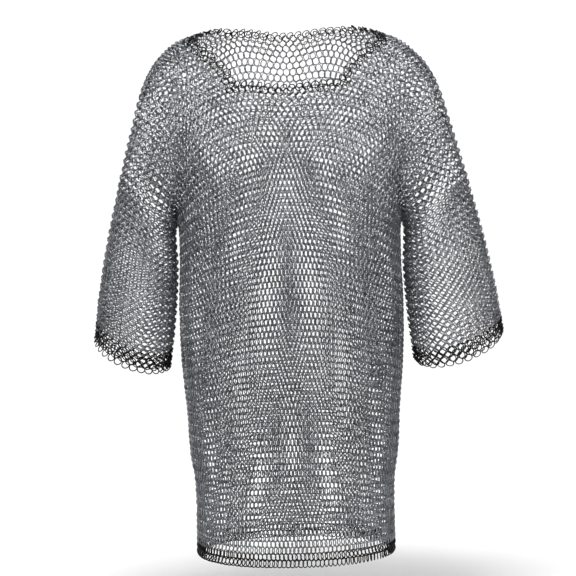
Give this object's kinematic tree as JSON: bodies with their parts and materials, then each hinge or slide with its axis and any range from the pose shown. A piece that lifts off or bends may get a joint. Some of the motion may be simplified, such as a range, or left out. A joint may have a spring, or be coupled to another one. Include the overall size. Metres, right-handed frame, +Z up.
{
  "type": "chainmail hauberk",
  "caption": "Short tunic of linked steel rings with a square neck and wide three-quarter sleeves, edged with dark rings at neck, cuffs and hem, in its worn, hollow form.",
  "frame": {"origin": "middle of the shoulder line, level with the outer corners of the neck hole, where the wearer's shoulders carry the shirt", "axes": "+Z up, +X to the right of someone who looks at the front, -Y out of the front; the body hangs along -Z"},
  "size_m": [0.6143, 0.2342, 0.7975],
  "materials": {
    "steel_rings": "zinc-plated steel wire, smooth and moderately shiny",
    "dark_rings": "blackened steel wire, satin"
  },
  "bodies": {
    "root": {"yoke_front": "steel_rings", "yoke_back": "steel_rings", "body_front": "steel_rings", "body_back": "steel_rings", "sleeve_left": "steel_rings", "sleeve_right": "steel_rings", "neck_edge": "dark_rings", "cuff_edge_left": "dark_rings", "cuff_edge_right": "dark_rings", "hem_edge": "dark_rings"}
  },
  "joints": []
}
